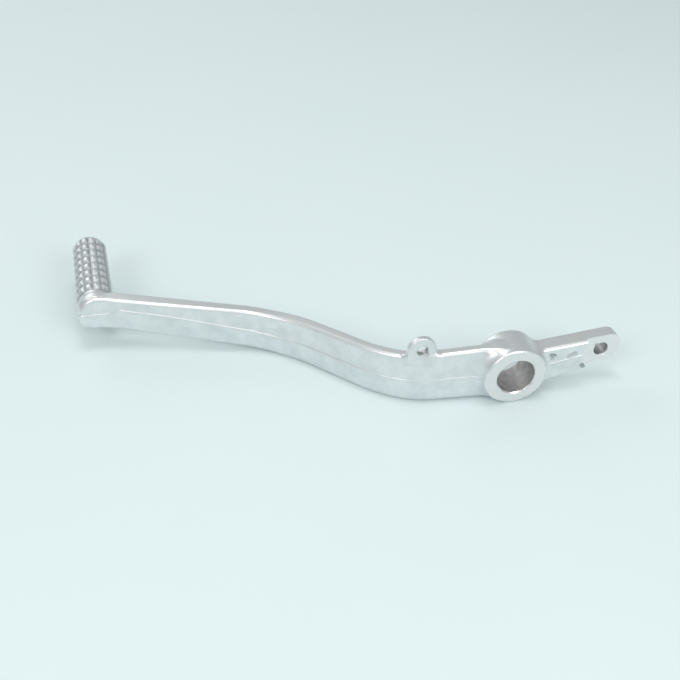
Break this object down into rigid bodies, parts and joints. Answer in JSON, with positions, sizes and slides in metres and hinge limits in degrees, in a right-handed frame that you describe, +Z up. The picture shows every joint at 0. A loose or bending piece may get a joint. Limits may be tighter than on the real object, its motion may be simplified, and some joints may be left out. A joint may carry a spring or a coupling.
{
  "type": "rear brake pedal",
  "caption": "Cast alloy rear brake pedal lever with a pivot hub, a jogged arm, a studded toe peg, a spring lug and a pushrod tongue.",
  "frame": {"origin": "middle of the pivot bore, on its axis, halfway along the hub", "axes": "+Y along the pivot bore towards the outside of the bike, -X towards the toe peg, +X towards the pushrod tongue, +Z up"},
  "size_m": [0.2338, 0.1375, 0.0344],
  "materials": {
    "cast_alloy": "as cast, satin, with turned and milled faces at the pivot and the tongue"
  },
  "bodies": {
    "root": {"brake_pedal": "cast_alloy"}
  },
  "joints": []
}
